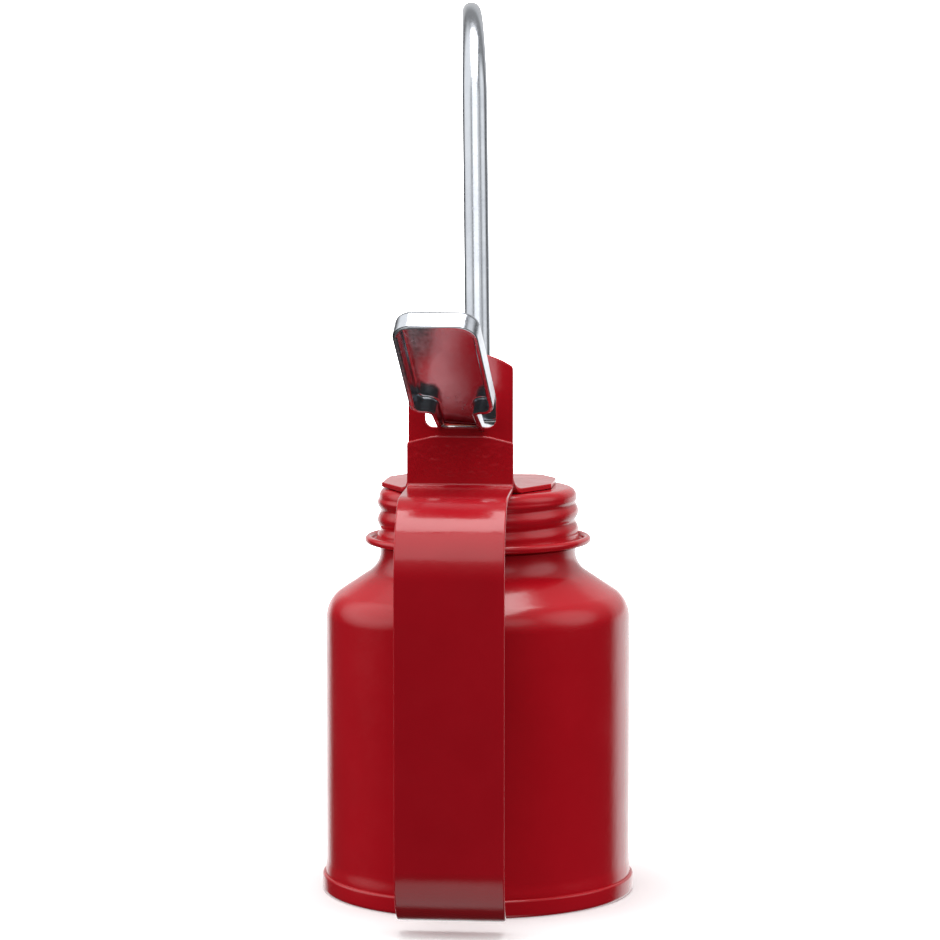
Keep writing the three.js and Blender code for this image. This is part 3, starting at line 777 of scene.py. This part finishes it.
def paper_floor():
    """White paper, kept out of reflections so that the enamel stays deep."""
    paper, _, shader, _ = new_material("white_paper")
    shader.inputs["Base Color"].default_value = (0.93, 0.93, 0.93, 1)
    shader.inputs["Roughness"].default_value = 0.7
    shader.inputs["Emission Color"].default_value = (1, 1, 1, 1)
    shader.inputs["Emission Strength"].default_value = 0.15
    side, near, far = 0.5, -0.10, 0.45
    corners = [(-side, near, 0), (side, near, 0), (side, far, 0), (-side, far, 0)]
    floor = mesh_object("floor", corners, [(0, 1, 2, 3)])
    floor.data.materials.append(paper)
    floor.visible_glossy = False
    floor.visible_diffuse = False


def softbox(name, at, towards, size, power, colour=(1, 1, 1)):
    light = bpy.data.lights.new(name, "AREA")
    light.shape = "RECTANGLE"
    light.size, light.size_y = size
    light.energy = power
    light.color = colour
    obj = bpy.data.objects.new(name, light)
    obj.location = at
    obj.rotation_euler = (Vector(towards) - Vector(at)).to_track_quat("-Z", "Y").to_euler()
    bpy.context.scene.collection.objects.link(obj)
    return obj


paper_floor()
PANEL = (0.6, 0.62)
softbox("key", (0.0, -0.02, 0.9), (0, -0.02, 0), size=PANEL, power=5.4, colour=(1.0, 0.985, 0.99))
softbox("fill", (0.0, -0.60, 0.66), (0, -0.05, 0.09), size=PANEL, power=1.6)
for way in (-1, 1):
    side_light = softbox("side", (0.9 * way, -0.1, 0.25), (0, 0, 0.05), size=(0.5, 0.5), power=2.3)
    side_light.visible_glossy = False

world = bpy.data.worlds.new("studio")
world.use_nodes = True
bpy.context.scene.world = world
sky = Nodes(world.node_tree)
surface = next(n for n in world.node_tree.nodes if n.type == "BACKGROUND")
direction = sky.add("ShaderNodeTexCoord").outputs["Generated"]


def along(way):
    """How far the looked-at direction points that way, from -1 to 1."""
    node = sky.tree.nodes.new("ShaderNodeVectorMath")
    node.operation = "DOT_PRODUCT"
    sky.set(node, 0, direction)
    sky.set(node, 1, Vector(way).normalized())
    return node.outputs["Value"]


# What the metal and the enamel reflect: a bright far wall that fades upwards, white cards to both sides,
# one in front to the right, a ceiling, and the paper in front of the object's foot. The rest is dark.
wall = sky.spread(along((0.13, 0.99, 0.0)), 0.0, 1.35, 0.68, 0.84)
wall_fade = sky.spread(along((0, 0, 1)), 1.0, 0.5, 0.0, 0.09)
cards = [
    sky.times(wall, wall_fade),
    sky.spread(along((0.0, 0.0, 1.0)), 0.0, 0.3, 0.04, 0.5),
    sky.spread(along((-0.8, 0.0, 0.6)), 0.0, 1.2, 0.7, 0.9),
    sky.spread(along((0.85, 0.0, 0.53)), 0.0, 1.2, 0.88, 0.98),
    sky.spread(along((0.5, -0.62, 0.6)), 0.0, 0.9, 0.955, 0.99),
    sky.spread(along((0.0, -0.5, -0.87)), 0.0, 1.0, 0.815, 0.91),
]
glow = 0.03
for card in cards:
    glow = sky.larger(glow, card)
BACKDROP = 4.0  # what the camera sees behind the object
seen = sky.add("ShaderNodeLightPath").outputs["Is Camera Ray"]
sky.set(surface, "Strength", sky.larger(glow, sky.times(seen, BACKDROP)))
surface.inputs["Color"].default_value = (1, 1, 1, 1)

YAW, PITCH_DOWN = math.radians(5.5), math.radians(5.38)
DISTANCE, SIDEWAYS, EYE_HEIGHT = 0.905, -0.00197, 0.1896
rightwards = Vector((math.cos(YAW), math.sin(YAW), 0))
away = Vector((-math.sin(YAW), math.cos(YAW), 0))
camera = bpy.data.cameras.new("camera")
camera.lens = 141
eye = bpy.data.objects.new("camera", camera)
eye.location = rightwards * SIDEWAYS - away * DISTANCE + Vector((0, 0, EYE_HEIGHT))
look = away * math.cos(PITCH_DOWN) - Vector((0, 0, math.sin(PITCH_DOWN)))
eye.rotation_euler = look.to_track_quat("-Z", "Y").to_euler()
bpy.context.scene.collection.objects.link(eye)
bpy.context.scene.camera = eye
bpy.context.scene.view_settings.view_transform = "Standard"
